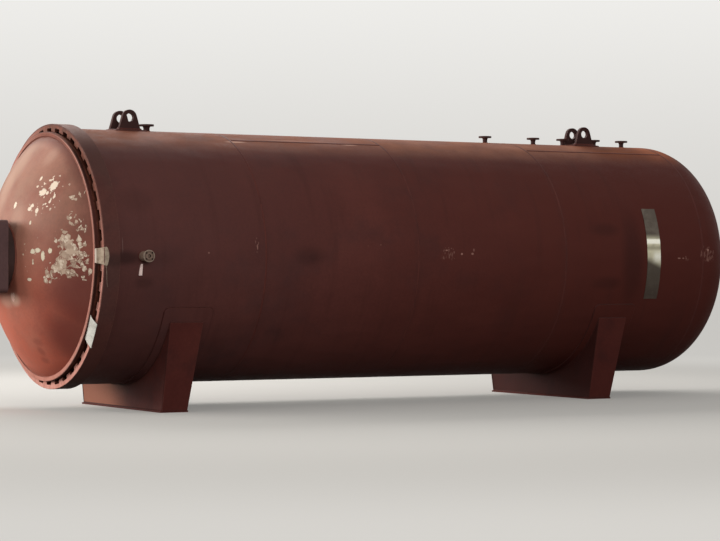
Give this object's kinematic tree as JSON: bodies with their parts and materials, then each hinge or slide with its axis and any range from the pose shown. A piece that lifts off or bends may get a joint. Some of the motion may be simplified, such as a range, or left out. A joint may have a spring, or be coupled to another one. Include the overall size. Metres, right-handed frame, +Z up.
{
  "type": "glass lamination autoclave",
  "caption": "Horizontal pressure vessel on two saddles with a dished quick-opening toothed door on a swing arm, lifting lugs and flanged nozzles.",
  "frame": {"origin": "centre of the underside of the front saddle's base plate, on the floor", "axes": "+X along the vessel from its mouth to its rear head, +Y to the hinge side, +Z up"},
  "size_m": [8.682, 3.05, 2.987],
  "materials": {
    "shell_primer": "matt red oxide primer on rolled plate, scuffed and chalky",
    "door_primer": "matt red oxide primer, chipped, with patches of pale undercoat",
    "fitting_primer": "dark red oxide primer on fittings",
    "bare_steel": "bright ground steel",
    "seal_rubber": "black rubber"
  },
  "bodies": {
    "vessel": {"shell_course_1": "shell_primer", "shell_course_2": "shell_primer", "shell_course_3": "shell_primer", "shell_course_4": "shell_primer", "end_ring": "door_primer", "rear_head": "shell_primer", "door_seal": "seal_rubber", "front_saddle_pad": "shell_primer", "front_saddle_web": "shell_primer", "front_saddle_ribs": "shell_primer", "front_saddle_base": "shell_primer", "front_lug_near": "fitting_primer", "front_lug_far": "fitting_primer", "front_lug_pad": "fitting_primer", "rear_saddle_pad": "shell_primer", "rear_saddle_web": "shell_primer", "rear_saddle_ribs": "shell_primer", "rear_saddle_base": "shell_primer", "rear_lug_near": "fitting_primer", "rear_lug_far": "fitting_primer", "rear_lug_pad": "fitting_primer", "top_nozzle_1": "fitting_primer", "top_nozzle_2": "fitting_primer", "top_nozzle_3": "fitting_primer", "top_nozzle_4": "fitting_primer", "top_nozzle_5": "fitting_primer", "top_nozzle_6": "fitting_primer", "side_nozzle": "fitting_primer", "bare_strip": "bare_steel", "hinge_bracket_upper": "fitting_primer", "hinge_bracket_lower": "fitting_primer", "hinge_pin": "bare_steel"},
    "arm": {"arm_beam": "door_primer", "arm_knuckle": "door_primer", "arm_bearing": "door_primer"},
    "door": {"door_dish": "door_primer", "door_flange": "door_primer", "door_hub": "door_primer", "door_shaft": "bare_steel", "shaft_cap": "door_primer"}
  },
  "joints": [
    {"name": "door_swing", "type": "hinge", "parent": "vessel", "child": "arm", "pos_m": [-0.977, 1.56, 1.516], "axis": [0, 0, -1], "range_deg": [0, 110]},
    {"name": "door_turn", "type": "hinge", "parent": "arm", "child": "door", "pos_m": [-0.917, 0, 1.516], "axis": [1, 0, 0], "range_deg": [0, 4.5]}
  ]
}
